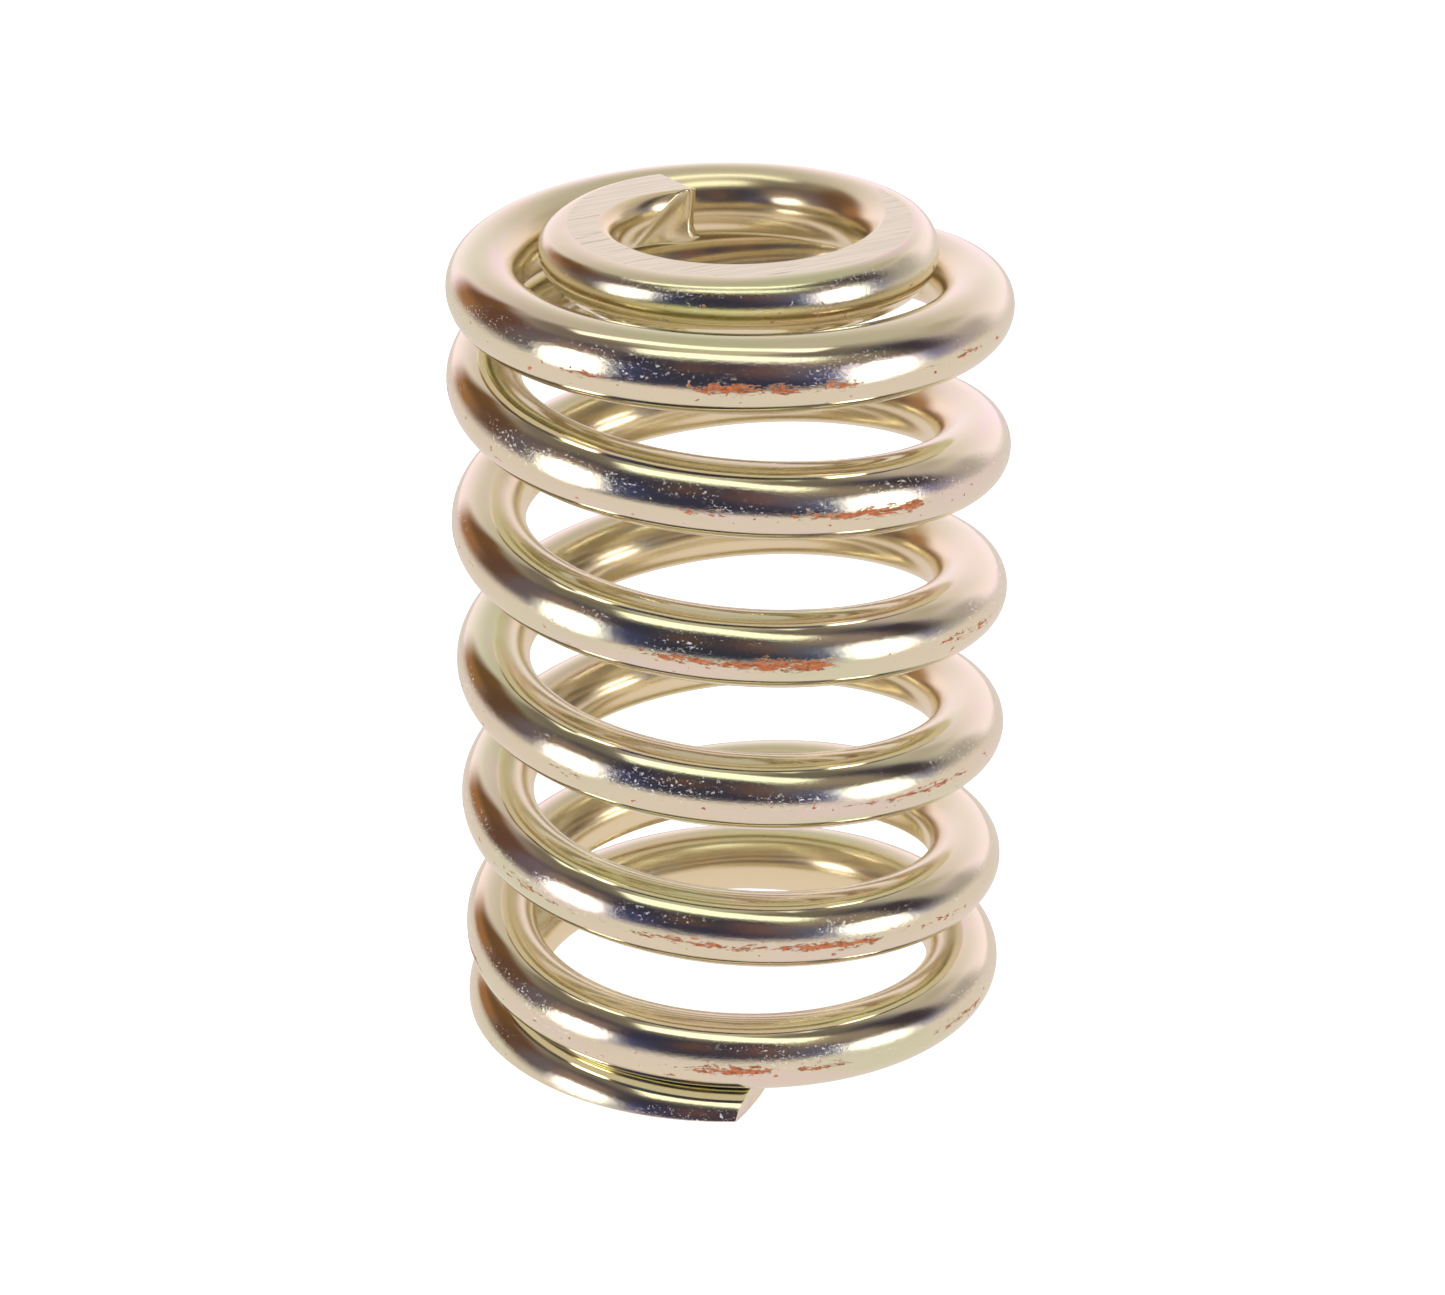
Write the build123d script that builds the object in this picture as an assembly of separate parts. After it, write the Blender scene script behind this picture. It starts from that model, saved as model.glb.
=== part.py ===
"""A left-hand compression spring of heavy round wire.

The bottom turn is closed and ground flat. The top turn spirals inwards and ends in a smaller coil, nested inside and a
little above the last full-size turn, and ground flat on top. Both ends are sheared off at a slant.

The wire is one piece on the real spring. Here it is divided at planes through the coil's axis, so that neighbouring
lengths touch face on face and slide past each other along the axis as the spring is squeezed.

The frame has +Z up the coil's axis. Its origin is on that axis, in the plane of the ground base.
A place along the wire is given in turns from the bottom cut end.
"""

from build123d import *
from math import atan, cos, pi, radians, sin, tan
import os

# Wire and coil
WIRE_DIAMETER = 4.0
MEAN_RADIUS = 13.0
TOTAL_TURNS = 7.46
START_ANGLE = -83.5

# Height of the wire's centreline: pitches in mm for each turn, and the turns between which each change is made
START_HEIGHT = -0.8
CLOSED_PITCH = 4.1
ACTIVE_PITCH = 8.17
TOP_PITCH = 2.5
NESTED_PITCH = 0.0
LIFT_OFF = (1.08, 1.27)
TOP_CLOSING = (5.55, 5.95)
LEVELLING = (6.85, 7.15)

# Radius of the wire's centreline at the top
NESTED_RADIUS = 8.8
INWARD_BEND = (6.18, 6.86)
TIP_DRAW_IN = 1.5
DRAW_IN = (6.66, TOTAL_TURNS)

# Ground ends, and the slants at which the ends are sheared, in degrees away from a plane through the coil's axis
TOP_HEIGHT = 45.7
TOP_SHEAR_SKEW = 8.0
BOTTOM_SHEAR_SKEW = -29.0
BOTTOM_SHEAR_TURN = 0.005
BOTTOM_SPARE = -0.03

# Division into lengths
FIRST_SPLIT = 1.45
LAST_SPLIT = 5.20
QUARTER_TURN = 0.25
QUARTERS_IN_A_TURN = 4
BOTTOM_LENGTHS = {
    "bottom_ground_tip": (BOTTOM_SPARE, 0.45),
    "bottom_closed_coil": (0.45, 0.95),
    "bottom_lift_off": (0.95, FIRST_SPLIT),
}
TOP_LENGTHS = {
    "top_run_in": (LAST_SPLIT, 5.70),
    "top_outer_coil": (5.70, 6.20),
    "top_inward_bend": (6.20, 6.80),
    "top_nested_coil": (6.80, 7.30),
    "top_sheared_tip": (7.30, TOTAL_TURNS),
}

# Modelling aids
WIRE_RADIUS = WIRE_DIAMETER / 2
SECTION_SPACING = 0.05
FULL_TURN = 360.0
SLOPE_STEP = 0.001
CUTTER_SIZE = 80.0


def share(turn, span):
    """How far along a span of turns a place is, from 0 before it to 1 after it."""
    start, end = span
    return min(max((turn - start) / (end - start), 0.0), 1.0)


def eased(turn, span):
    """The same share with a smooth start and end."""
    t = share(turn, span)
    return t * t * (3 - 2 * t)


def eased_sum(turn, span):
    """The area under eased() up to a place, so that a pitch that changes smoothly adds up to a height."""
    start, end = span
    t = share(turn, span)
    return (end - start) * (t**3 - t**4 / 2) + max(turn - end, 0.0)


def height(turn):
    """Height of the wire's centreline."""
    return (
        START_HEIGHT
        + CLOSED_PITCH * turn
        + (ACTIVE_PITCH - CLOSED_PITCH) * eased_sum(turn, LIFT_OFF)
        + (TOP_PITCH - ACTIVE_PITCH) * eased_sum(turn, TOP_CLOSING)
        + (NESTED_PITCH - TOP_PITCH) * eased_sum(turn, LEVELLING)
    )


def radius(turn):
    """Distance of the wire's centreline from the coil's axis."""
    bend = (MEAN_RADIUS - NESTED_RADIUS) * eased(turn, INWARD_BEND)
    return MEAN_RADIUS - bend - TIP_DRAW_IN * share(turn, DRAW_IN) ** 2


def slope(quantity, turn):
    """How fast a height or radius changes along the wire, in mm for each mm around the coil."""
    change = (quantity(turn + SLOPE_STEP) - quantity(turn - SLOPE_STEP)) / (2 * SLOPE_STEP)
    return change / (2 * pi * radius(turn))


def radial_plane(turn, skew=0.0):
    """The plane that cuts the wire across at a place: it holds the coil's axis, unless it is skewed about its centre."""
    angle = radians(START_ANGLE - FULL_TURN * turn)
    centre = Vector(radius(turn) * cos(angle), radius(turn) * sin(angle), height(turn))
    outwards = Vector(cos(angle), sin(angle), 0).rotate(Axis.Z, skew)
    return Plane(origin=centre, x_dir=outwards, z_dir=outwards.cross(Vector(0, 0, 1)))


def cross_section(turn):
    """The round wire cut by the radial plane, a little longer where the wire runs at a slant to it."""
    wide = WIRE_RADIUS / cos(atan(slope(radius, turn)))
    tall = WIRE_RADIUS / cos(atan(slope(height, turn)))
    return radial_plane(turn) * Ellipse(wide, tall)


def length_of_wire(start, end):
    """The wire between two places, with flat ends."""
    steps = max(2, round((end - start) / SECTION_SPACING))
    turns = [start + (end - start) * step / steps for step in range(steps + 1)]
    return loft([cross_section(turn) for turn in turns])


def ground_slab(low_face, high_face):
    """A wide block between two heights, for keeping what lies between two ground faces."""
    thickness = high_face - low_face
    return Pos(0, 0, (low_face + high_face) / 2) * Box(CUTTER_SIZE, CUTTER_SIZE, thickness)


def grind(wire):
    """Takes off what is below the base plane or above the top plane."""
    return wire & ground_slab(0.0, TOP_HEIGHT)


def shear_top(wire):
    """Cuts the top end off at a slant, a little further back on the outside of the coil."""
    setback = WIRE_RADIUS * tan(radians(TOP_SHEAR_SKEW)) / (2 * pi * radius(TOTAL_TURNS))
    return split(wire, radial_plane(TOTAL_TURNS - setback, TOP_SHEAR_SKEW), keep=Keep.BOTTOM)


def shear_bottom(wire):
    """Cuts the spare wire off the bottom end at a steep slant, much further back on the outside of the coil."""
    return split(wire, radial_plane(BOTTOM_SHEAR_TURN, BOTTOM_SHEAR_SKEW), keep=Keep.TOP)


def bottom_lengths():
    """The closed base turn and the start of its rise, which stay still when the base stands on something."""
    lengths = {name: grind(length_of_wire(*span)) for name, span in BOTTOM_LENGTHS.items()}
    lengths["bottom_ground_tip"] = shear_bottom(lengths["bottom_ground_tip"])
    return lengths


def active_lengths():
    """The open turns that bend as the spring is squeezed, in quarter turns numbered upwards."""
    lengths = {}
    for index in range(round((LAST_SPLIT - FIRST_SPLIT) / QUARTER_TURN)):
        start = FIRST_SPLIT + index * QUARTER_TURN
        coil = 1 + index // QUARTERS_IN_A_TURN
        quarter = 1 + index % QUARTERS_IN_A_TURN
        lengths[f"coil_{coil}_quarter_{quarter}"] = length_of_wire(start, start + QUARTER_TURN)
    return lengths


def top_lengths():
    """The last full-size turn, the bend inwards and the nested end coil, which move down as one."""
    lengths = {name: grind(length_of_wire(*span)) for name, span in TOP_LENGTHS.items()}
    lengths["top_sheared_tip"] = shear_top(lengths["top_sheared_tip"])
    return lengths


os.makedirs("parts", exist_ok=True)
for node, shape in {**bottom_lengths(), **active_lengths(), **top_lengths()}.items():
    export_step(shape, f"parts/{node}.step")
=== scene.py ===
"""Looks for the plated compression spring: the wire as smooth meshes that stretch with the squeeze, its
plating, the studio and the camera. Lengths are in mm until a mesh or an object is made, which is in metres.

A place along the wire is given in turns from the bottom cut end. A place around it is an angle, 0 on the
side away from the coil's axis and 90 degrees on top.
"""

import math

import bpy
import numpy as np
from mathutils import Euler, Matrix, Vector


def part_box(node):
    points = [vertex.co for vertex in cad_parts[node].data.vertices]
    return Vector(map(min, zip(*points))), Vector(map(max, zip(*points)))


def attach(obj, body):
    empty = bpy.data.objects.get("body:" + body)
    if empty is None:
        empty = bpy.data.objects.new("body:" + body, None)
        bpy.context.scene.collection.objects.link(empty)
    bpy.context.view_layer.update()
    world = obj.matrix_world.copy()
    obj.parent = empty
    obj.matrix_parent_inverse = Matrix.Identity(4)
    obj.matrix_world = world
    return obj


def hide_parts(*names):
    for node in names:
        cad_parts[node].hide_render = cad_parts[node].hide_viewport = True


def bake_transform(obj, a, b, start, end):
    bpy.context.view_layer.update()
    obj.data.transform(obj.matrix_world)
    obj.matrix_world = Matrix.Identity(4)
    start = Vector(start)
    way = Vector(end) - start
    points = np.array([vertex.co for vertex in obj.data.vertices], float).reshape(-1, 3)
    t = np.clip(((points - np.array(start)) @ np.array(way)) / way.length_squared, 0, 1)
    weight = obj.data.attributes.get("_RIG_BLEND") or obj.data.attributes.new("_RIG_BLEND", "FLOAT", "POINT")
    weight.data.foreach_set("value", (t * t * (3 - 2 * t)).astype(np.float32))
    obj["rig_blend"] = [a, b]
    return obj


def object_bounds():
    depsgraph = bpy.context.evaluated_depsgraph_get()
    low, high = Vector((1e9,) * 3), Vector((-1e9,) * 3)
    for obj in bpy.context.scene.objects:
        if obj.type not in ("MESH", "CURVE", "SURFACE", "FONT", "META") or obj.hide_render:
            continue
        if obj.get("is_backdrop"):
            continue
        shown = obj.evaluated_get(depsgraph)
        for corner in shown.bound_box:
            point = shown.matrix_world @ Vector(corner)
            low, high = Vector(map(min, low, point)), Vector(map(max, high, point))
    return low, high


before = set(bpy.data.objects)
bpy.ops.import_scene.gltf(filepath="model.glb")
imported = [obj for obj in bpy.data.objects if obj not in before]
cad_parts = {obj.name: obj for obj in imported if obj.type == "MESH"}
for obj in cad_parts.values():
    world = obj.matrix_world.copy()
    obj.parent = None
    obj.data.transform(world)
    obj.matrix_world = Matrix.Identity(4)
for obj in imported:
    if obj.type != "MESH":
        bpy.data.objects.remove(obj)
cad_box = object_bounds()

MM = 0.001

# The wire's centreline, as the CAD has it
WIRE_RADIUS = 2.0
MEAN_RADIUS = 13.0
TOTAL_TURNS = 7.46
START_ANGLE = -83.5
START_HEIGHT = -0.8
CLOSED_PITCH = 4.1
ACTIVE_PITCH = 8.17
TOP_PITCH = 2.5
NESTED_PITCH = 0.0
LIFT_OFF = (1.08, 1.27)
TOP_CLOSING = (5.55, 5.95)
LEVELLING = (6.85, 7.15)
NESTED_RADIUS = 8.8
INWARD_BEND = (6.18, 6.86)
TIP_DRAW_IN = 1.5
DRAW_IN = (6.66, TOTAL_TURNS)
TOP_HEIGHT = 45.7
TOP_SHEAR_SKEW = 8.0
BOTTOM_SHEAR_SKEW = -29.0
BOTTOM_SHEAR_TURN = 0.005
FULL_TURN = 360.0

# Where the squeeze is shared out along the wire: each length's middle moves with its own body, and the run-in
# to the top turn ends the stretching
FIRST_MIDDLE = 1.325
QUARTER_TURN = 0.25
LENGTHS = 15
QUARTERS_IN_A_TURN = 4
RUN_IN_END = 5.70

# Places along the outside where the plating has rubbed through: (turn, half length in turns, how badly)
WORN_PLACES = [
    (6.10, 0.014, 0.7),
    (6.02, 0.022, 1.0),
    (5.992, 0.012, 0.9),
    (5.963, 0.019, 0.8),
    (5.87, 0.014, 0.6),
    (5.26, 0.027, 0.7),
    (5.03, 0.016, 0.6),
    (4.965, 0.030, 0.7),
    (4.928, 0.027, 1.0),
    (4.27, 0.041, 0.9),
    (4.045, 0.027, 0.8),
    (3.992, 0.035, 1.1),
    (3.86, 0.034, 0.7),
    (3.24, 0.020, 0.6),
    (3.12, 0.016, 0.6),
    (2.90, 0.047, 0.7),
    (2.14, 0.034, 0.6),
    (2.03, 0.054, 0.7),
    (1.958, 0.032, 1.0),
    (1.88, 0.020, 0.6),
    (1.23, 0.027, 0.7),
    (1.02, 0.030, 1.0),
    (0.965, 0.019, 0.7),
    (0.86, 0.027, 0.7),
    (0.17, 0.027, 0.7),
]

# Meshing. A flat's soft edge starts at most ARC_EDGE mm before the corner, on the round side, and ends at
# most WIDEST_EDGE of the flat's half width past it. A flat narrower than LEAST_FLAT degrees isn't made.
RINGS_IN_A_TURN = 180
POINTS_AROUND = 72
ARC_POINTS = 84
CHORD_POINTS = 40
EDGE = 0.06
ARC_EDGE = 0.8
WIDEST_EDGE = 0.8
EDGE_POINTS = (0.15, 0.3, 0.45, 0.6, 0.75, 0.9)
RIGHT_ANGLE = 90.0
LEAST_FLAT = 3.0

# How far the worn edges of the top flat reach in over it: (turn, mm at the inner edge, mm at the outer edge)
TOP_FLAT_EDGES = [
    (6.30, 0.10, 0.30),
    (6.84, 0.08, 0.35),
    (6.97, 0.08, 1.25),
    (7.16, 0.10, 1.40),
    (7.28, 0.60, 1.10),
    (7.38, 0.50, 0.50),
    (7.44, 0.15, 0.25),
]
BOTTOM_SLANT = (0.01, 0.11)
TOP_SLANT = (TOTAL_TURNS - 0.11, TOTAL_TURNS - 0.01)

# The facet that the shear pressed into the top end. Depths are shares of the wire's radius. Places around
# the wire are in degrees, and a side of the wire is its middle and its spread.
PRESSED_END = (TOTAL_TURNS - 0.10, TOTAL_TURNS - 0.01)
FACET_DEPTH = 0.34
FACET_START = 216.0
FACET_END = 190.0
DRAG = 0.13
DRAGGED_SIDE = (248.0, 24.0)

# The rolled edge of the top cut and its torn burr, in mm, and the burr's teeth: (how many would go round the
# wire, share of the burr's height)
ROLLED_EDGE = 0.55
ROLLED_SIDE = (180.0, 62.0)
BURR_HEIGHT = 0.50
BURR_SIDE = (244.0, 15.0)
LEAST_BURR = 0.03
BURR_TEETH = [(17, 0.35), (41, 0.25)]

# An edge's outline: (how far along the wire, how far in over the cut, the burr's share of its full height)
EDGE_OUTLINE = [
    (0.28, 0.05, 0.64),
    (0.42, 0.12, 0.85),
    (0.82, 0.36, 0.94),
    (0.96, 0.52, 0.90),
    (1.00, 0.75, 0.47),
    (1.00, 1.00, 0.00),
]

# Modelling aids: the powers give a hump's shape, and the steps are for measuring slopes, in turns and degrees
SOFT_HUMP = 2
FLAT_TOPPED_HUMP = 4
SLOPE_STEP = 0.0005
ANGLE_STEP = 0.01


# ----------------------------------------------------------------------------------------------------
# The wire's centreline and surface
# ----------------------------------------------------------------------------------------------------


def share(turn, span):
    """How far along a span of turns a place is, from 0 before it to 1 after it."""
    start, end = span
    return np.clip((turn - start) / (end - start), 0.0, 1.0)


def eased(turn, span):
    """The same share with a smooth start and end."""
    t = share(turn, span)
    return t * t * (3 - 2 * t)


def eased_sum(turn, span):
    """The area under eased() up to a place."""
    start, end = span
    t = share(turn, span)
    return (end - start) * (t**3 - t**4 / 2) + np.maximum(turn - end, 0.0)


def hump(position, middle_and_spread, power):
    """1 at a middle, falling smoothly to 0 on both sides of it."""
    middle, spread = middle_and_spread
    return np.exp(-(((position - middle) / spread) ** power))


def height(turn):
    """Height of the wire's centreline."""
    return (
        START_HEIGHT
        + CLOSED_PITCH * turn
        + (ACTIVE_PITCH - CLOSED_PITCH) * eased_sum(turn, LIFT_OFF)
        + (TOP_PITCH - ACTIVE_PITCH) * eased_sum(turn, TOP_CLOSING)
        + (NESTED_PITCH - TOP_PITCH) * eased_sum(turn, LEVELLING)
    )


def radius(turn):
    """Distance of the wire's centreline from the coil's axis."""
    bend = (MEAN_RADIUS - NESTED_RADIUS) * eased(turn, INWARD_BEND)
    return MEAN_RADIUS - bend - TIP_DRAW_IN * share(turn, DRAW_IN) ** 2


def stretch(quantity, turn):
    """Half the wire's width across a radial plane, longer where the wire crosses it at a slant."""
    change = (quantity(turn + SLOPE_STEP) - quantity(turn - SLOPE_STEP)) / (2 * SLOPE_STEP)
    return WIRE_RADIUS * np.sqrt(1 + (change / (2 * np.pi * radius(turn))) ** 2)


def slanted(turn, outwards):
    """A place along the wire moved near an end, so that the last rings lie in the plane of its slanted
    cut."""
    bottom = (1 - eased(turn, BOTTOM_SLANT)) * math.tan(math.radians(-BOTTOM_SHEAR_SKEW))
    top = eased(turn, TOP_SLANT) * math.tan(math.radians(-TOP_SHEAR_SKEW))
    return turn + (bottom + top) * outwards / (2 * np.pi * radius(turn))


def place(turn, outwards, up):
    """The point at an offset from the centreline, outwards from the coil's axis and up."""
    turn = slanted(turn, outwards)
    angle = np.radians(START_ANGLE - FULL_TURN * turn)
    reach = radius(turn) + outwards
    return np.stack([reach * np.cos(angle), reach * np.sin(angle), height(turn) + up], axis=-1)


def pressed(turn, around):
    """How far out the surface is, as a share of the round wire. Near the top end the shear pressed a facet
    into the inner side, and dragged the metal below it downwards."""
    near_end = share(turn, PRESSED_END)
    reach = 1 - FACET_DEPTH * near_end
    middle = FACET_START - (FACET_START - FACET_END) * near_end
    facing = np.cos(np.radians(around - middle))
    below = hump(around % FULL_TURN, DRAGGED_SIDE, SOFT_HUMP)
    return reach / np.maximum(facing, reach) + DRAG * near_end**2 * below


def on_tube(turn, around):
    """The point on the wire's surface."""
    angle = np.radians(around)
    size = pressed(turn, around)
    outwards = size * stretch(radius, turn) * np.cos(angle)
    return place(turn, outwards, size * stretch(height, turn) * np.sin(angle))


def tube_normal(turn, around):
    """The outward normal there, from the surface's own slopes."""
    along = on_tube(turn + SLOPE_STEP, around) - on_tube(turn - SLOPE_STEP, around)
    across = on_tube(turn, around + ANGLE_STEP) - on_tube(turn, around - ANGLE_STEP)
    normal = np.cross(across, along)
    return normal / np.linalg.norm(normal, axis=-1, keepdims=True)


# ----------------------------------------------------------------------------------------------------
# Rings of points
# ----------------------------------------------------------------------------------------------------


def round_rings(turns):
    """Rings right round the wire: points, normals, places around the wire, and how far each point is on a
    ground flat, which is nowhere here."""
    around = np.linspace(0, FULL_TURN, POINTS_AROUND, endpoint=False)
    turn, angle = np.meshgrid(turns, around, indexing="ij")
    return on_tube(turn, angle), tube_normal(turn, angle), angle, np.zeros_like(angle)


def softened(arc_end, arc_normal, corner, flat_end, flat_normal):
    """The soft edge between the round side of the wire and a flat: points and normals on a curve that cuts
    the corner."""
    arc_side = np.linalg.norm(corner - arc_end, axis=-1, keepdims=True) * arc_normal
    flat_side = np.linalg.norm(corner - flat_end, axis=-1, keepdims=True) * flat_normal
    points, normals = [], []
    for step in EDGE_POINTS:
        points.append((1 - step) ** 2 * arc_end + 2 * step * (1 - step) * corner + step**2 * flat_end)
        normal = (1 - step) * arc_side + step * flat_side
        normals.append(normal / np.linalg.norm(normal, axis=-1, keepdims=True))
    return np.stack(points, axis=1), np.stack(normals, axis=1)


def flat_across(turns, plane, side, offsets, cut):
    """Points on the flat at offsets from the centreline, or just under the round top where nothing is
    ground, with the same values as round_rings."""
    turn = np.broadcast_to(turns[:, None], offsets.shape)
    up = side * (stretch(height, turns) * np.sin(np.radians(cut)))[:, None] * np.ones_like(offsets)
    points = place(turn, offsets, up)
    angles = np.degrees(np.arctan2(up, offsets))
    is_flat = cut < RIGHT_ANGLE - LEAST_FLAT
    points[..., 2] = np.where(is_flat[:, None], plane, points[..., 2])
    straight = np.array([0.0, 0.0, side])
    normals = np.where(is_flat[:, None, None], straight, tube_normal(turn, angles))
    return points, normals, angles, np.broadcast_to(is_flat[:, None], offsets.shape).astype(float)


def ground_rings(turns, plane, side, edges):
    """Rings with a ground flat where the plane cuts the wire. side is -1 for a flat underneath and 1 for one
    on top. edges gives how far the soft edges reach in over the flat, on its inner and its outer side."""
    depth = side * (plane - height(turns)) / stretch(height, turns)
    cut = np.minimum(np.degrees(np.arcsin(np.clip(depth, -1, 1))), RIGHT_ANGLE - LEAST_FLAT)
    half = stretch(radius, turns) * np.cos(np.radians(cut))
    inner, outer = (np.minimum(edge, WIDEST_EDGE * half) for edge in edges(turns))

    first = cut - np.degrees(np.minimum(outer, ARC_EDGE) / WIRE_RADIUS)
    last = -FULL_TURN / 2 - cut + np.degrees(np.minimum(inner, ARC_EDGE) / WIRE_RADIUS)
    angle = side * (first[:, None] + (last - first)[:, None] * np.linspace(0, 1, ARC_POINTS))
    turn = np.broadcast_to(turns[:, None], angle.shape)
    arc, arc_normal = on_tube(turn, angle), tube_normal(turn, angle)

    across = np.linspace(0, 1, CHORD_POINTS)
    offsets = (inner - half)[:, None] * (1 - across) + (half - outer)[:, None] * across
    chord, chord_normal, chord_angle, flat = flat_across(turns, plane, side, offsets, cut)
    corners, *_ = flat_across(turns, plane, side, np.stack([-half, half], axis=1), cut)

    at_inner = softened(arc[:, -1], arc_normal[:, -1], corners[:, 0], chord[:, 0], chord_normal[:, 0])
    at_outer = softened(arc[:, 0], arc_normal[:, 0], corners[:, 1], chord[:, -1], chord_normal[:, -1])
    points = np.concatenate([arc, at_inner[0], chord, at_outer[0][:, ::-1]], axis=1)
    normals = np.concatenate([arc_normal, at_inner[1], chord_normal, at_outer[1][:, ::-1]], axis=1)
    steps = np.array(EDGE_POINTS)
    inner_angle = (angle[:, [-1]] + side * FULL_TURN) * (1 - steps) + chord_angle[:, [0]] * steps
    outer_angle = angle[:, [0]] * (1 - steps) + chord_angle[:, [-1]] * steps
    angles = np.concatenate([angle, inner_angle, chord_angle, outer_angle[:, ::-1]], axis=1)
    soft_part = np.zeros_like(inner_angle)
    ground = np.concatenate([np.zeros_like(angle), soft_part, flat, soft_part], axis=1)
    return points, normals, angles, ground


# ----------------------------------------------------------------------------------------------------
# Meshes
# ----------------------------------------------------------------------------------------------------


def sheared_edge(around):
    """How far the rolled edge of the top cut goes in, and how far its torn burr stands out, in mm."""
    inner = hump(around, ROLLED_SIDE, FLAT_TOPPED_HUMP)
    lower = hump(around, BURR_SIDE, SOFT_HUMP)
    ragged = 1 + sum(size * np.sin(np.radians(around) * count) for count, size in BURR_TEETH)
    return EDGE + ROLLED_EDGE * inner, (LEAST_BURR * inner + BURR_HEIGHT * lower) * ragged


def clean_edge(around):
    """A narrow rounded edge with no burr."""
    return np.full_like(around, EDGE), np.zeros_like(around)


def cap(ring, facing, around, edge):
    """The rounded edge and the flat face that close an end: points ring by ring to the middle, and their
    normals."""
    middle = ring.mean(axis=0)
    inwards = middle - ring
    inwards -= np.outer(inwards @ facing, facing)
    inwards /= np.linalg.norm(inwards, axis=1, keepdims=True)
    rolled, burr = (size[:, None] for size in edge(around % FULL_TURN))
    rings = [ring]
    for along, over, stands in EDGE_OUTLINE:
        rings.append(ring + rolled * (along * facing + over * inwards) + stands * burr * facing)
    grid = np.stack(rings)
    normals = np.cross(np.roll(grid, -1, axis=1) - np.roll(grid, 1, axis=1), np.gradient(grid, axis=0))
    normals /= np.linalg.norm(normals, axis=-1, keepdims=True)
    normals *= np.sign((normals @ facing).sum())
    normals[-1] = facing
    points = np.concatenate([grid[1:].reshape(-1, 3), [middle + rolled.mean() * facing]])
    return points, np.concatenate([normals[1:].reshape(-1, 3), [facing]])


def cap_faces(first, count, start, flip):
    """Faces from a ring through the cap's rings to its middle."""
    rings = [first] + [start + count * step for step in range(len(EDGE_OUTLINE))]
    middle = start + count * len(EDGE_OUTLINE)
    for i in range(count):
        j = (i + 1) % count
        for near, far in zip(rings, rings[1:]):
            quad = (near + i, near + j, far + j, far + i)
            yield quad[::-1] if flip else quad
        fan = (rings[-1] + i, rings[-1] + j, middle)
        yield fan[::-1] if flip else fan


def cut_facing(turn):
    """The direction that a cut across the wire faces, looking up the coil."""
    across = place(turn, 1.0, 0.0) - place(turn, -1.0, 0.0)
    along = place(turn + SLOPE_STEP, 0.0, 0.0) - place(turn - SLOPE_STEP, 0.0, 0.0)
    facing = np.cross(across, (0.0, 0.0, 1.0))
    facing *= np.sign(facing @ along)
    return facing / np.linalg.norm(facing)


def grid_faces(count, around, outward):
    """The faces between neighbouring rings."""
    for i in range(count):
        for j in range(around):
            k = (j + 1) % around
            quad = (i * around + j, (i + 1) * around + j, (i + 1) * around + k, i * around + k)
            yield quad if outward else quad[::-1]


def wire_surface(span, rings, start_cap, end_cap):
    """The faces of one length of wire, then for each point its place, its normal, where it is along and
    around the wire, and how far it is on a ground flat."""
    start, end = span
    count = max(2, round((end - start) * RINGS_IN_A_TURN))
    turns = np.linspace(start, end, count + 1)
    grid, grid_normals, angles, ground = rings(turns)
    around = grid.shape[1]
    outward = np.cross(grid[1, 0] - grid[0, 0], grid[0, 1] - grid[0, 0]) @ grid_normals[0, 0] > 0
    faces = list(grid_faces(count, around, outward))
    points, normals = grid.reshape(-1, 3), grid_normals.reshape(-1, 3)
    turn_of = np.repeat(turns, around)
    angle_of, ground_of = angles.ravel(), ground.ravel()

    ends = [(0, -cut_facing(start), start, not outward, clean_edge)] * start_cap
    ends += [(count * around, cut_facing(end), end, outward, sheared_edge)] * end_cap
    for first, facing, turn, flip, edge in ends:
        ring_angles = angle_of[first : first + around]
        cap_points, cap_normals = cap(points[first : first + around], facing, ring_angles, edge)
        faces += cap_faces(first, around, len(points), flip)
        points = np.concatenate([points, cap_points])
        normals = np.concatenate([normals, cap_normals])
        turn_of = np.append(turn_of, np.full(len(cap_points), turn))
        angle_of = np.append(angle_of, [*np.tile(ring_angles, len(EDGE_OUTLINE)), 0.0])
        ground_of = np.append(ground_of, np.zeros(len(cap_points)))
    return faces, points, normals, turn_of, angle_of, ground_of


def wire_mesh(name, span, rings, start_cap=False, end_cap=False):
    """One length of wire as a mesh object, with what its material and its stretching need stored on its
    points."""
    surface = wire_surface(span, rings, start_cap, end_cap)
    faces, points, normals, turn_of, angle_of, ground_of = surface
    mesh = bpy.data.meshes.new(name)
    mesh.from_pydata((points * MM).tolist(), [], faces)
    mesh.normals_split_custom_set_from_vertices(normals.tolist())
    along = 2 * math.pi * MEAN_RADIUS * turn_of
    turned = np.radians(angle_of)
    places = np.stack([along, WIRE_RADIUS * np.cos(turned), WIRE_RADIUS * np.sin(turned)], axis=-1)
    store(mesh, "wire_place", "FLOAT_VECTOR", "vector", places)
    store(mesh, "rest_place", "FLOAT_VECTOR", "vector", points)
    store(mesh, "ground_flat", "FLOAT", "value", ground_of)
    store(mesh, "turn", "FLOAT", "value", turn_of)
    store(mesh, "wear", "FLOAT", "value", wear_at(turn_of))
    piece = bpy.data.objects.new(name, mesh)
    bpy.context.scene.collection.objects.link(piece)
    return piece


def wear_at(turn):
    """How badly the outside of the wire is worn at a place."""
    wear = np.zeros_like(turn)
    for centre, half_length, strength in WORN_PLACES:
        wear = np.maximum(wear, strength * hump(turn, (centre, half_length), FLAT_TOPPED_HUMP))
    return wear


def store(mesh, name, kind, field, values):
    """Puts one value for each point on a mesh."""
    attribute = mesh.attributes.new(name, kind, "POINT")
    attribute.data.foreach_set(field, np.asarray(values, np.float32).ravel())


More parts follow.
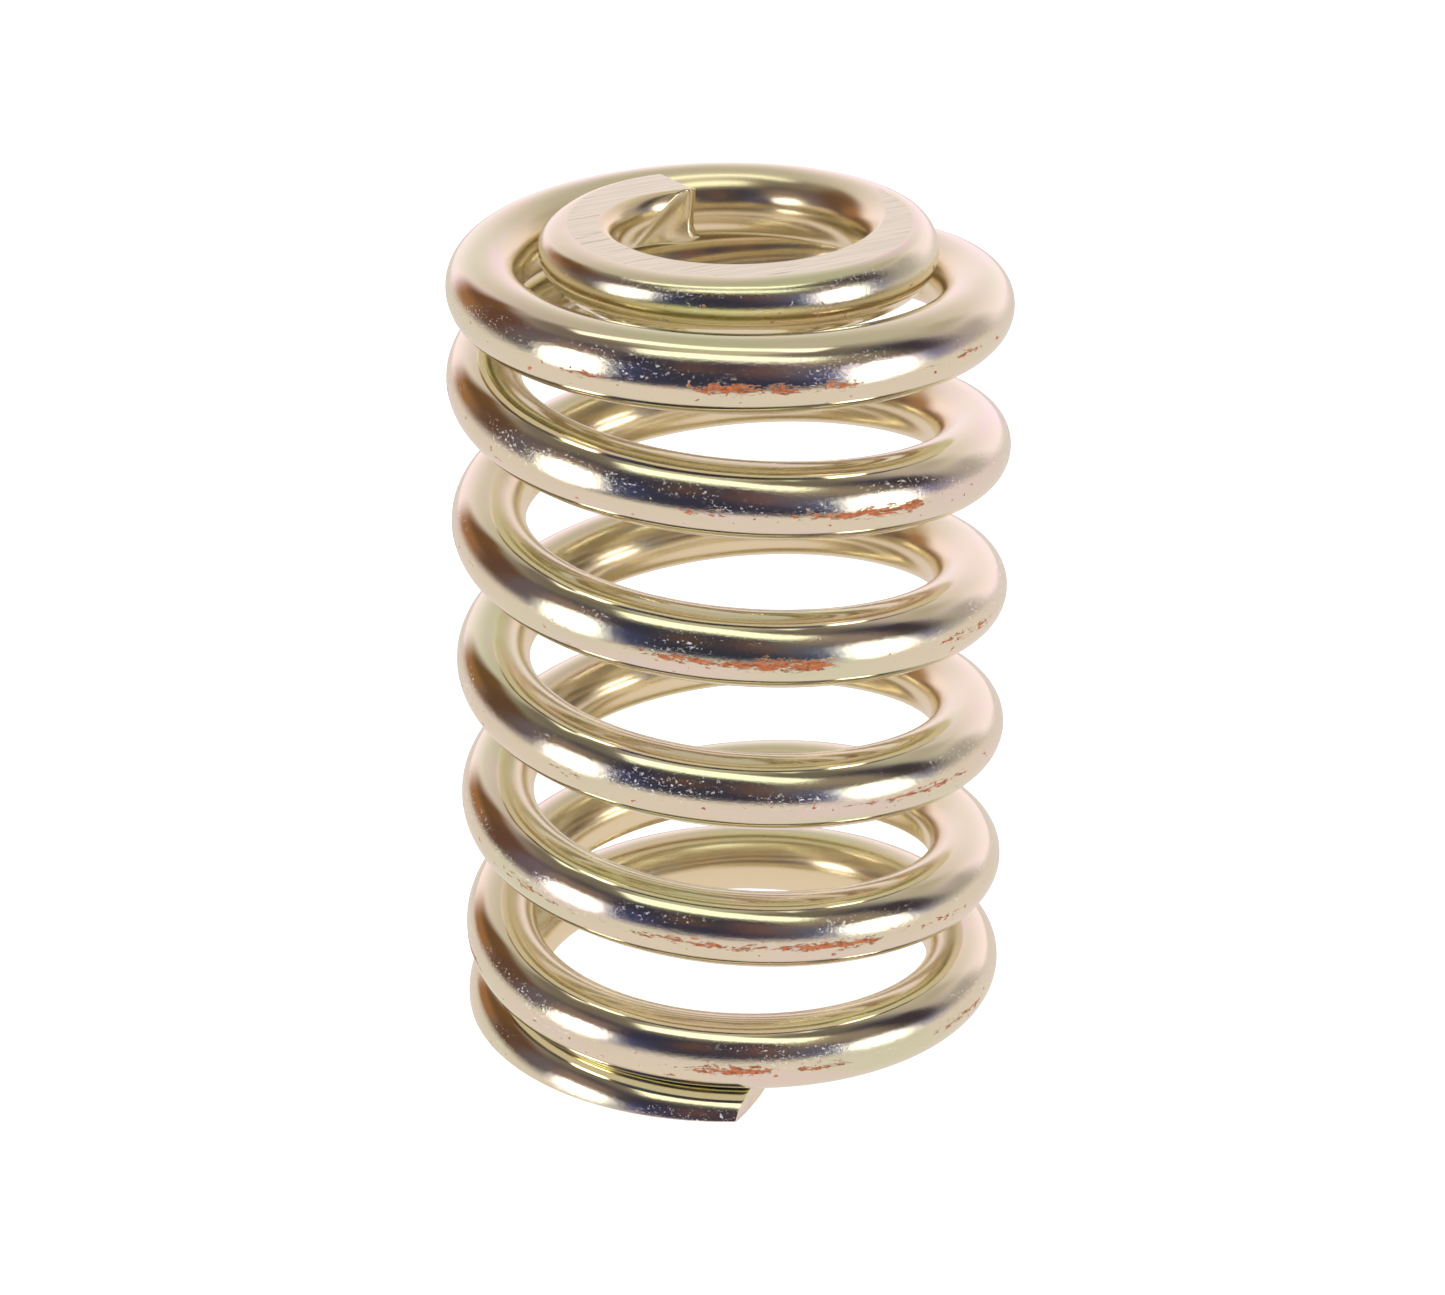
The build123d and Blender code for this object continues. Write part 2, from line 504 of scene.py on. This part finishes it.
def read(mesh, name):
    """The numbers stored under a name, one for each point."""
    values = np.zeros(len(mesh.vertices), np.float32)
    mesh.attributes[name].data.foreach_get("value", values)
    return values


def paint_flats(mesh):
    """Gives the faces of a ground flat the second material."""
    on_flat = read(mesh, "ground_flat").astype(bool)
    for face in mesh.polygons:
        face.material_index = int(all(on_flat[i] for i in face.vertices))


# ----------------------------------------------------------------------------------------------------
# Pieces
# ----------------------------------------------------------------------------------------------------


def narrow_edges(turns):
    """The same narrow edge on both sides of a flat."""
    return np.full_like(turns, EDGE), np.full_like(turns, EDGE)


def worn_edges(turns):
    """The worn edges of the top flat, inner and outer."""
    places, inner, outer = zip(*TOP_FLAT_EDGES)
    return np.interp(turns, places, inner), np.interp(turns, places, outer)


def base_ground(turns):
    """Rings of the base turn, ground underneath."""
    return ground_rings(turns, 0.0, -1, narrow_edges)


def top_ground(turns):
    """Rings of the nested coil, ground on top."""
    return ground_rings(turns, TOP_HEIGHT, 1, worn_edges)


def rigid_pieces():
    """The end turns, which move with the base or with the top."""
    setback = WIRE_RADIUS * math.tan(math.radians(TOP_SHEAR_SKEW))
    top_end = TOTAL_TURNS - setback / (2 * math.pi * radius(TOTAL_TURNS))
    table = [
        ("bottom_ground_tip", (BOTTOM_SHEAR_TURN, 0.45), base_ground, "base"),
        ("bottom_closed_coil", (0.45, 0.95), base_ground, "base"),
        ("bottom_lift_off", (0.95, FIRST_MIDDLE), round_rings, "base"),
        ("top_outer_coil", (RUN_IN_END, 6.20), round_rings, "top"),
        ("top_inward_bend", (6.20, 6.80), top_ground, "top"),
        ("top_nested_coil", (6.80, 7.30), top_ground, "top"),
        ("top_sheared_tip", (7.30, top_end), top_ground, "top"),
    ]
    for node, span, rings, body in table:
        ends = {"start_cap": node == "bottom_ground_tip", "end_cap": node == "top_sheared_tip"}
        piece = wire_mesh(node + "_wire", span, rings, **ends)
        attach(piece, body)
        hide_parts(node)
        yield piece


def share_squeeze(piece, body, bodies_share):
    """Lets a piece stretch between the base and a body, each point moving by its place along the wire.
    bodies_share is how much of the squeeze that body takes."""
    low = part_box("bottom_closed_coil")[0]
    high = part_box("top_outer_coil")[1]
    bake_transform(piece, "base", body, start=low, end=high)
    mesh = piece.data
    steps = (read(mesh, "turn") - FIRST_MIDDLE) / QUARTER_TURN / (LENGTHS + 1)
    weights = np.clip(steps, 0.0, 1.0) / bodies_share
    mesh.attributes["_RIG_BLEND"].data.foreach_set("value", np.minimum(weights, 1.0).astype(np.float32))


def stretching_pieces():
    """The open turns, and the start of the top turn, which follow the squeeze point by point."""
    for index in range(LENGTHS):
        start = FIRST_MIDDLE + index * QUARTER_TURN
        coil = 1 + index // QUARTERS_IN_A_TURN
        quarter = 1 + index % QUARTERS_IN_A_TURN
        node = f"coil_{coil}_quarter_{quarter}"
        piece = wire_mesh(node + "_wire", (start, start + QUARTER_TURN), round_rings)
        share_squeeze(piece, f"length_{index + 1:02d}", (index + 1) / (LENGTHS + 1))
        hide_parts(node)
        yield piece
    span = (FIRST_MIDDLE + LENGTHS * QUARTER_TURN, RUN_IN_END)
    run_in = wire_mesh("top_run_in_wire", span, round_rings)
    share_squeeze(run_in, "top", 1.0)
    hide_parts("top_run_in")
    yield run_in


# ----------------------------------------------------------------------------------------------------
# Shader nodes
# ----------------------------------------------------------------------------------------------------


class Nodes:
    """A short way to write a node tree."""

    def __init__(self, tree):
        self.tree = tree
        tree.nodes.clear()

    def add(self, kind, inputs=(), **settings):
        """A node with its settings and its inputs, each a number or another node's output."""
        node = self.tree.nodes.new(kind)
        for key, value in settings.items():
            setattr(node, key, value)
        for key, value in dict(inputs).items():
            self.set(node.inputs[key], value)
        return node

    def set(self, socket, value):
        """Links an output to a socket, or sets the socket's own value."""
        if isinstance(value, bpy.types.NodeSocket):
            self.tree.links.new(value, socket)
        else:
            socket.default_value = value

    def math(self, operation, *values):
        """The result of one piece of arithmetic."""
        node = self.tree.nodes.new("ShaderNodeMath")
        node.operation = operation
        for socket, value in zip(node.inputs, values):
            self.set(socket, value)
        return node.outputs[0]

    def rise(self, value, start, end):
        """0 up to start, 1 from end, smooth between. With end below start it falls."""
        low, high, first, last = (start, end, 0.0, 1.0) if start < end else (end, start, 1.0, 0.0)
        inputs = {"Value": value, "From Min": low, "From Max": high, "To Min": first, "To Max": last}
        node = self.add("ShaderNodeMapRange", inputs, interpolation_type="SMOOTHSTEP")
        return node.outputs["Result"]

    def band(self, value, start, end, soft):
        """1 between start and end, with soft edges."""
        risen = self.rise(value, start - soft, start + soft)
        return self.math("MULTIPLY", risen, self.rise(value, end + soft, end - soft))

    def mix(self, share_of_second, first, second):
        """One colour, changed into another where the share is 1."""
        node = self.tree.nodes.new("ShaderNodeMix")
        node.data_type = "RGBA"
        colours = [socket for socket in node.inputs if socket.type == "RGBA"]
        self.set(node.inputs["Factor"], share_of_second)
        self.set(colours[0], first)
        self.set(colours[1], second)
        return next(socket for socket in node.outputs if socket.type == "RGBA")

    def attribute(self, name, output):
        """What wire_mesh stored on the points under a name."""
        return self.add("ShaderNodeAttribute", attribute_name=name).outputs[output]

    def axes(self, vector):
        """The three numbers of a vector."""
        split = self.add("ShaderNodeSeparateXYZ", {"Vector": vector})
        return [split.outputs[axis] for axis in "XYZ"]

    def noise(self, vector, cycles, detail, roughness):
        """Noise with its own number of cycles in each mm along the vector's three axes."""
        stretched = self.add("ShaderNodeMapping", {"Vector": vector, "Scale": cycles}).outputs["Vector"]
        inputs = {"Vector": stretched, "Scale": 1.0, "Detail": detail, "Roughness": roughness}
        return self.add("ShaderNodeTexNoise", inputs, noise_dimensions="3D").outputs["Fac"]

    def grain(self, wire, settings):
        """Noise on the wire: (cycles in each mm along it, cycles across it, detail, roughness)."""
        along, across, detail, roughness = settings
        return self.noise(wire, (along, across, across), detail, roughness)

    def turned(self, vector, turns):
        """A vector turned about the three axes, by angles in degrees."""
        rotation = tuple(math.radians(turn) for turn in turns)
        return self.add("ShaderNodeMapping", {"Vector": vector, "Rotation": rotation}).outputs["Vector"]

    def bump(self, relief):
        """The bent normal of a relief given in mm."""
        inputs = {"Height": relief, "Strength": 1.0, "Distance": MM}
        return self.add("ShaderNodeBump", inputs).outputs["Normal"]

    def surface(self, inputs):
        """Ends the tree with a surface."""
        shader = self.add("ShaderNodeBsdfPrincipled", inputs)
        output = self.add("ShaderNodeOutputMaterial")
        self.tree.links.new(shader.outputs["BSDF"], output.inputs["Surface"])


def colour(red, green, blue):
    """A solid colour, from linear shares of red, green and blue."""
    return (red, green, blue, 1.0)


# ----------------------------------------------------------------------------------------------------
# Materials
# ----------------------------------------------------------------------------------------------------


# In these names, SHOW is where a value fades in: (from, to). A STRIP runs along the wire: (from, to,
# softness), in mm up from the widest line. LINES are noises: (cycles in each mm along each axis, detail,
# roughness).

# Plating
STRAW = colour(0.85, 0.80, 0.60)
GREENISH = colour(0.78, 0.80, 0.56)
PINKISH = colour(0.88, 0.78, 0.67)
# Painted reflection: the golden tint inside the coil stands in for the wire's reflections of itself
PAINTED_REFLECTION_GOLD = colour(0.89, 0.79, 0.53)
SCUFFED = colour(0.80, 0.77, 0.77)
PLATING_ROUGHNESS = 0.095
INNER_ROUGHNESS = 0.13
WORN_ROUGHNESS = 0.42
RUST_DULLNESS = 0.95
SCUFF_DULLNESS = 0.6

# Rust
DARK_RUST = colour(0.20, 0.055, 0.018)
BRIGHT_RUST = colour(0.50, 0.135, 0.035)
RUST_LINE = 0.08
WEAR_WEIGHT = 1.6
RAGGED_WEIGHT = 6.6
OFF_LINE_WEIGHT = 3.4
RUST_SHOWS = (4.18, 4.32)
FLECKS_SHOW = (0.69, 0.72)
FLECK_STRIP = (-0.9, 0.35, 0.3)
RUST_RELIEF = 0.03

# Scuffs and scratches
DOTS_SHOW = (0.585, 0.64)
STREAKS_SHOW = (0.64, 0.68)
SCRATCHES_SHOW = (0.755, 0.785)
CROWDS_SHOW = (0.46, 0.62)
SCRATCH_TURN = (0.0, 52.0, 0.0)
SCRATCH_LINES = ((0.45, 4.0, 5.0), 2.0, 0.5)
SCUFF_STRIP = (-0.15, 1.3, 0.25)

# Relief, in mm
LINE_DEPTH = 0.0025
WAVE_DEPTH = 0.03
DENT_DEPTH = 0.014
DENT_STRIP = (-0.2, 1.2, 0.5)

# Where the wire faces away from the coil's axis or towards it, by the offset from its centreline in mm
OUTSIDE = (0.6, 1.4)
# Painted reflection: the golden tint fades in over this span, towards the coil's axis
PAINTED_REFLECTION_INSIDE = (-0.7, -1.8)
INSIDE_DULL = (0.6, -1.0)

# Noises on the wire: (cycles in each mm along it, cycles across it, detail, roughness)
GREEN_DRIFT = (0.07, 0.3, 2.0, 0.5)
PINK_DRIFT = (0.102, 0.595, 2.0, 0.5)
GREEN_SHOWS = (0.48, 0.66)
PINK_SHOWS = (0.50, 0.70)
RUST_PATCHES = (1.7, 5.2, 5.0, 0.78)
RUST_FLECKS = (2.0, 2.4, 2.0, 0.5)
RUST_SHADES = (3.0, 5.0, 4.0, 0.7)
BRIGHT_SHOWS = (0.38, 0.60)
SCUFF_DOTS = (4.5, 5.5, 4.0, 0.75)
SCUFF_STREAKS = (2.08, 7.8, 4.0, 0.65)
SCUFF_CROWDS = (0.22, 0.6, 2.0, 0.5)
DRAWING_MARKS = (0.05, 3.5, 3.0, 0.55)
SLOW_WAVES = (0.22, 0.5, 1.0, 0.5)
FINE_DENTS = (3.4, 5.0, 5.0, 0.8)

# Ground flats
GRINDING_TURN = (0.0, 0.0, -29.0)
FINE_LINES = ((0.25, 9.0, 1.0), 3.0, 0.65)
DEEP_LINES = ((0.16, 3.2, 1.0), 2.0, 0.5)
PALE_SHOWS = (0.35, 0.65)
GROOVES_SHOW = (0.63, 0.70)
GROUND_DULL = colour(0.76, 0.75, 0.56)
GROUND_PALE = colour(0.86, 0.86, 0.67)
GROOVE_TINT = colour(0.50, 0.44, 0.33)
GROOVE_TINT_SHARE = 0.55
FINE_DEPTH = 0.003
GROOVE_DEPTH = 0.006
GROUND_ROUGHNESS = 0.24

FLOOR_ROUGHNESS = 0.9


def new_material(name):
    """An empty material and its node tree."""
    material = bpy.data.materials.new(name)
    material.use_nodes = True
    return material, Nodes(material.node_tree)


def plating_tint_and_painted_reflection(n, wire):
    """Straw-coloured plating that drifts a little towards green and pink, plus painted reflection: more
    golden inside the coil, standing in for the wire reflecting itself.
    """
    green = n.rise(n.grain(wire, GREEN_DRIFT), *GREEN_SHOWS)
    pink = n.rise(n.grain(wire, PINK_DRIFT), *PINK_SHOWS)
    # Painted reflection: the side of the wire that faces the coil's axis is tinted golden, in place of the
    # wire reflecting itself
    inside = n.rise(n.axes(wire)[1], *PAINTED_REFLECTION_INSIDE)
    tint = n.mix(pink, n.mix(green, STRAW, GREENISH), PINKISH)
    return n.mix(inside, tint, PAINTED_REFLECTION_GOLD)


def outer_strip(n, wire, strip):
    """The strip along the outside of the coil, between two offsets in mm up from the widest line, with soft
    edges."""
    _, outwards, up = n.axes(wire)
    return n.math("MULTIPLY", n.band(up, *strip), n.rise(outwards, *OUTSIDE))


def rust_mask(n, wire):
    """Ragged patches along the widest line, where the plating has rubbed through, and stray specks there."""
    _, outwards, up = n.axes(wire)
    wear = n.math("MULTIPLY", n.attribute("wear", "Fac"), WEAR_WEIGHT)
    ragged = n.math("MULTIPLY", n.grain(wire, RUST_PATCHES), RAGGED_WEIGHT)
    off_line = n.math("ABSOLUTE", n.math("ADD", up, RUST_LINE))
    likely = n.math("SUBTRACT", n.math("ADD", wear, ragged), n.math("MULTIPLY", off_line, OFF_LINE_WEIGHT))
    flecks = n.rise(n.grain(wire, RUST_FLECKS), *FLECKS_SHOW)
    stray = n.math("MULTIPLY", flecks, n.band(up, *FLECK_STRIP))
    either = n.math("MAXIMUM", n.rise(likely, *RUST_SHOWS), stray)
    return n.math("MULTIPLY", either, n.rise(outwards, *OUTSIDE))


def scuff_mask(n, wire):
    """Small pale dots and streaks above the widest line, in loose crowds, and a few slanted scratches."""
    dots = n.rise(n.grain(wire, SCUFF_DOTS), *DOTS_SHOW)
    streaks = n.rise(n.grain(wire, SCUFF_STREAKS), *STREAKS_SHOW)
    crowds = n.rise(n.grain(wire, SCUFF_CROWDS), *CROWDS_SHOW)
    scratches = n.rise(n.noise(n.turned(wire, SCRATCH_TURN), *SCRATCH_LINES), *SCRATCHES_SHOW)
    crowded = n.math("MULTIPLY", n.math("MAXIMUM", dots, streaks), crowds)
    return n.math("MULTIPLY", n.math("MAXIMUM", crowded, scratches), outer_strip(n, wire, SCUFF_STRIP))


def drawn_relief(n, wire):
    """Height in mm: drawing lines along the wire, slow waviness, and fine dents on the outside."""
    lines = n.math("MULTIPLY", n.grain(wire, DRAWING_MARKS), LINE_DEPTH)
    waves = n.math("MULTIPLY", n.grain(wire, SLOW_WAVES), WAVE_DEPTH)
    dented = n.math("MULTIPLY", n.grain(wire, FINE_DENTS), outer_strip(n, wire, DENT_STRIP))
    return n.math("ADD", n.math("ADD", lines, waves), n.math("MULTIPLY", dented, DENT_DEPTH))


def plated_steel(name):
    """Bright straw-coloured plating, worn through to rust along the widest line of each turn."""
    material, n = new_material(name)
    wire = n.attribute("wire_place", "Vector")
    rust = rust_mask(n, wire)
    scuffs = scuff_mask(n, wire)
    shades = n.grain(wire, RUST_SHADES)
    rust_tint = n.mix(n.rise(shades, *BRIGHT_SHOWS), DARK_RUST, BRIGHT_RUST)
    base = n.mix(rust, n.mix(scuffs, plating_tint_and_painted_reflection(n, wire), SCUFFED), rust_tint)
    dull_rust = n.math("MULTIPLY", rust, RUST_DULLNESS)
    dull_scuffs = n.math("MULTIPLY", scuffs, SCUFF_DULLNESS)
    metal = n.math("SUBTRACT", 1.0, n.math("MAXIMUM", dull_rust, dull_scuffs))
    inner = n.math("MULTIPLY", n.rise(n.axes(wire)[1], *INSIDE_DULL), INNER_ROUGHNESS)
    worn = n.math("MULTIPLY", n.math("MAXIMUM", rust, scuffs), WORN_ROUGHNESS)
    rough = n.math("ADD", n.math("ADD", inner, worn), PLATING_ROUGHNESS)
    crust = n.math("MULTIPLY", rust, n.math("MULTIPLY", shades, RUST_RELIEF))
    normal = n.bump(n.math("ADD", drawn_relief(n, wire), crust))
    n.surface({"Base Color": base, "Metallic": metal, "Roughness": rough, "Normal": normal})
    return material


def ground_steel(name):
    """The flat ground at each end: satin, with fine parallel lines and a few deeper ones."""
    material, n = new_material(name)
    turned = n.turned(n.attribute("rest_place", "Vector"), GRINDING_TURN)
    fine = n.noise(turned, *FINE_LINES)
    grooves = n.rise(n.noise(turned, *DEEP_LINES), *GROOVES_SHOW)
    satin = n.mix(n.rise(fine, *PALE_SHOWS), GROUND_DULL, GROUND_PALE)
    base = n.mix(n.math("MULTIPLY", grooves, GROOVE_TINT_SHARE), satin, GROOVE_TINT)
    lines = n.math("MULTIPLY", fine, FINE_DEPTH)
    normal = n.bump(n.math("SUBTRACT", lines, n.math("MULTIPLY", grooves, GROOVE_DEPTH)))
    n.surface({"Base Color": base, "Metallic": 1.0, "Roughness": GROUND_ROUGHNESS, "Normal": normal})
    return material


def floor_material(name, shade, glow):
    """A matt sheet that also gives off a share of its own colour, so that shadows on it stay faint."""
    material, n = new_material(name)
    glowing = {"Emission Color": shade, "Emission Strength": glow}
    n.surface({"Base Color": shade, "Roughness": FLOOR_ROUGHNESS, **glowing})
    return material


# ----------------------------------------------------------------------------------------------------
# Studio and camera
# ----------------------------------------------------------------------------------------------------

# Parts of the room as the plating sees them. Azimuth is 0 towards the camera and positive to its right.
# (azimuth from, to, elevation from, to, softness, all in degrees, and the colour)
ROOM = [
    (-20, -7, 20, 44, 5, (0.16, 0.085, 0.065)),
    (9, 22, 10, 44, 5, (0.20, 0.10, 0.09)),
    (24, 50, 0, 36, 7, (0.15, 0.13, 0.18)),
    (36, 51, -16, 20, 6, (0.09, 0.12, 0.30)),
    (-50, -34, -16, 24, 6, (0.06, 0.07, 0.20)),
    (32, 68, 32, 50, 7, (0.33, 0.27, 0.22)),
    (-84, -52, 18, 44, 8, (0.28, 0.20, 0.18)),
    (52, 80, 14, 44, 8, (0.30, 0.24, 0.21)),
    (-142, -116, -4, 26, 7, (0.36, 0.17, 0.08)),
    (-140, -106, 18, 44, 6, (0.17, 0.085, 0.04)),
    (-120, -92, -4, 42, 6, (0.135, 0.07, 0.05)),
    (-98, -82, -10, 40, 6, (0.15, 0.12, 0.15)),
    (-130, -80, 44, 66, 9, (0.20, 0.165, 0.14)),
    (88, 128, -18, 26, 8, (0.46, 0.41, 0.40)),
    (105, 135, 30, 46, 8, (0.50, 0.44, 0.38)),
    (77, 101, 8, 42, 4, (0.055, 0.042, 0.060)),
    (77, 96, -14, 10, 6, (0.17, 0.17, 0.36)),
    (-73, -55, -18, 21, 2, (5.5, 5.3, 5.4)),
    (54, 73, -28, 15, 2, (5.5, 5.3, 5.4)),
]
# Lamps on the ceiling, as shares of its height: (right, back, half length, half width)
LAMPS = [(0.12, -0.47, 0.58, 0.16), (-0.06, 0.13, 0.50, 0.09)]
LAMP_SLANT = -16.0
LAMP_COLOUR = (1.5, 1.48, 1.2)
LAMP_END_SOFTNESS = 0.03
LAMP_SIDE_SOFTNESS = 0.02
LEAST_HEIGHT = 0.05

# The room behind those patches: a colour low down, a colour high up, and the elevations between
BACK = (colour(1.12, 0.95, 1.06), colour(0.56, 0.51, 0.43), (0, 55))
FRONT = (colour(0.042, 0.041, 0.080), colour(0.19, 0.16, 0.14), (44, 60))
SIDES = (84, 125)
CEILING = colour(0.58, 0.53, 0.43)
CEILING_STARTS = (66, 80)
EVEN_LIGHT = colour(1.2, 1.2, 1.2)
WHITE = colour(1.0, 1.0, 1.0)

# Floors, in mm
FLOOR_DROP = 0.01
FLOOR_SIZE = 2000
FLOOR_SHADE = colour(0.3, 0.3, 0.3)
FLOOR_GLOW = 3.2
SHEET_FRONT_RADIUS = 90
SHEET_HALF_WIDTH = 300
SHEET_SHOULDER = -70
SHEET_BACK = 500
SHEET_FRONT_TURNS = range(-55, 56, 5)
SHEET_SHADE = colour(0.60, 0.53, 0.52)

# Camera, in mm and degrees
CAMERA_PLACE = (0.0, -190.2, 108.8)
CAMERA_TARGET = (-0.46, 0.0, 21.2)
CAMERA_ROLL = -0.35
LENS = 95.2
SENSOR_WIDTH = 36.0
NEAREST_SEEN = 10.0


def room_colours(n, azimuth, elevation):
    """The pale back of the room, its dark front, the pale ceiling, and the patches listed above."""
    front, back = (n.mix(n.rise(elevation, *span), low, high) for low, high, span in (FRONT, BACK))
    room = n.mix(n.rise(n.math("ABSOLUTE", azimuth), *SIDES), front, back)
    for left, right, low, high, soft, shade in ROOM:
        inside = n.math("MULTIPLY", n.band(azimuth, left, right, soft), n.band(elevation, low, high, soft))
        room = n.mix(inside, room, colour(*shade))
    return n.mix(n.rise(elevation, *CEILING_STARTS), room, CEILING)


def ceiling_lamps(n, room, x, y, z):
    """Two long lamps overhead, side by side and slanted a little."""
    above = n.math("MAXIMUM", z, LEAST_HEIGHT)
    right = n.math("DIVIDE", x, above)
    back = n.math("DIVIDE", y, above)
    cosine = math.cos(math.radians(LAMP_SLANT))
    sine = math.sin(math.radians(LAMP_SLANT))
    for middle_right, middle_back, half_length, half_width in LAMPS:
        off_right = n.math("SUBTRACT", right, middle_right)
        off_back = n.math("SUBTRACT", back, middle_back)
        along = n.math("ADD", n.math("MULTIPLY", off_right, cosine), n.math("MULTIPLY", off_back, sine))
        across = n.math("SUBTRACT", n.math("MULTIPLY", off_back, cosine), n.math("MULTIPLY", off_right, sine))
        in_length = n.band(along, -half_length, half_length, LAMP_END_SOFTNESS)
        in_width = n.band(across, -half_width, half_width, LAMP_SIDE_SOFTNESS)
        room = n.mix(n.math("MULTIPLY", in_length, in_width), room, colour(*LAMP_COLOUR))
    return room


def studio_world():
    """The room around the spring. The camera sees plain white, and matt surfaces are lit evenly."""
    world = bpy.data.worlds.new("studio")
    bpy.context.scene.world = world
    world.use_nodes = True
    n = Nodes(world.node_tree)
    x, y, z = n.axes(n.add("ShaderNodeTexCoord").outputs["Generated"])
    degree = math.degrees(1)
    elevation = n.math("MULTIPLY", n.math("ARCSINE", z), degree)
    azimuth = n.math("MULTIPLY", n.math("ARCTAN2", x, n.math("MULTIPLY", y, -1.0)), degree)
    room = ceiling_lamps(n, room_colours(n, azimuth, elevation), x, y, z)

    path = n.add("ShaderNodeLightPath")
    shown = n.mix(path.outputs["Is Diffuse Ray"], room, EVEN_LIGHT)
    shown = n.mix(path.outputs["Is Camera Ray"], shown, WHITE)
    background = n.add("ShaderNodeBackground", {"Color": shown, "Strength": 1.0})
    output = n.add("ShaderNodeOutputWorld")
    n.tree.links.new(background.outputs["Background"], output.inputs["Surface"])


def floor_sheet(name, outline, shade, glow):
    """A flat stage piece with an outline given in mm, just under the spring."""
    mesh = bpy.data.meshes.new(name)
    points = [(x * MM, y * MM, -FLOOR_DROP * MM) for x, y in outline]
    mesh.from_pydata(points, [], [tuple(range(len(points)))])
    mesh.materials.append(floor_material(name, shade, glow))
    sheet = bpy.data.objects.new(name, mesh)
    bpy.context.scene.collection.objects.link(sheet)
    sheet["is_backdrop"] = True
    return sheet


def floors():
    """A wide pale floor for the camera, and the smaller sheet with a rounded front that the plating
    reflects."""
    corners = ((-1, -1), (1, -1), (1, 1), (-1, 1))
    wide = [(FLOOR_SIZE * x, FLOOR_SIZE * y) for x, y in corners]
    seen = floor_sheet("floor", wide, FLOOR_SHADE, FLOOR_GLOW)
    seen.visible_glossy = False
    turns = [math.radians(angle) for angle in SHEET_FRONT_TURNS]
    front = [(SHEET_FRONT_RADIUS * math.sin(turn), -SHEET_FRONT_RADIUS * math.cos(turn)) for turn in turns]
    left = [(-SHEET_HALF_WIDTH, SHEET_SHOULDER)]
    right = [(SHEET_HALF_WIDTH, SHEET_SHOULDER)]
    back = [(SHEET_HALF_WIDTH, SHEET_BACK), (-SHEET_HALF_WIDTH, SHEET_BACK)]
    sheet = floor_sheet("reflected_sheet", left + front + right + back, SHEET_SHADE, 0.0)
    sheet.visible_camera = False
    sheet.visible_shadow = False
    sheet.visible_diffuse = False


def camera():
    """The photograph's viewpoint: close, looking down at 24 degrees, with a slight roll."""
    position = Vector(CAMERA_PLACE) * MM
    target = Vector(CAMERA_TARGET) * MM
    data = bpy.data.cameras.new("camera")
    data.lens = LENS
    data.sensor_width = SENSOR_WIDTH
    data.clip_start = NEAREST_SEEN * MM
    eye = bpy.data.objects.new("camera", data)
    bpy.context.scene.collection.objects.link(eye)
    eye.location = position
    turned = (target - position).to_track_quat("-Z", "Y").to_matrix()
    roll = Euler((0.0, 0.0, math.radians(CAMERA_ROLL))).to_matrix()
    eye.rotation_euler = (turned @ roll).to_euler()
    bpy.context.scene.camera = eye


# ----------------------------------------------------------------------------------------------------
# The scene
# ----------------------------------------------------------------------------------------------------

camera()
studio_world()
floors()
bpy.context.scene.view_settings.view_transform = "Standard"

plating = plated_steel("plated_wire")
ground_plating = ground_steel("ground_plated_wire")
GROUND_PIECES = {
    "bottom_ground_tip_wire",
    "bottom_closed_coil_wire",
    "top_inward_bend_wire",
    "top_nested_coil_wire",
    "top_sheared_tip_wire",
}
for wire_piece in [*rigid_pieces(), *stretching_pieces()]:
    wire_piece.data.materials.append(plating)
    if wire_piece.name in GROUND_PIECES:
        wire_piece.data.materials.append(ground_plating)
        paint_flats(wire_piece.data)

boxes = {"cad": cad_box, "visual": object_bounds()}
{name: [list(corner) for corner in box] for name, box in boxes.items()}
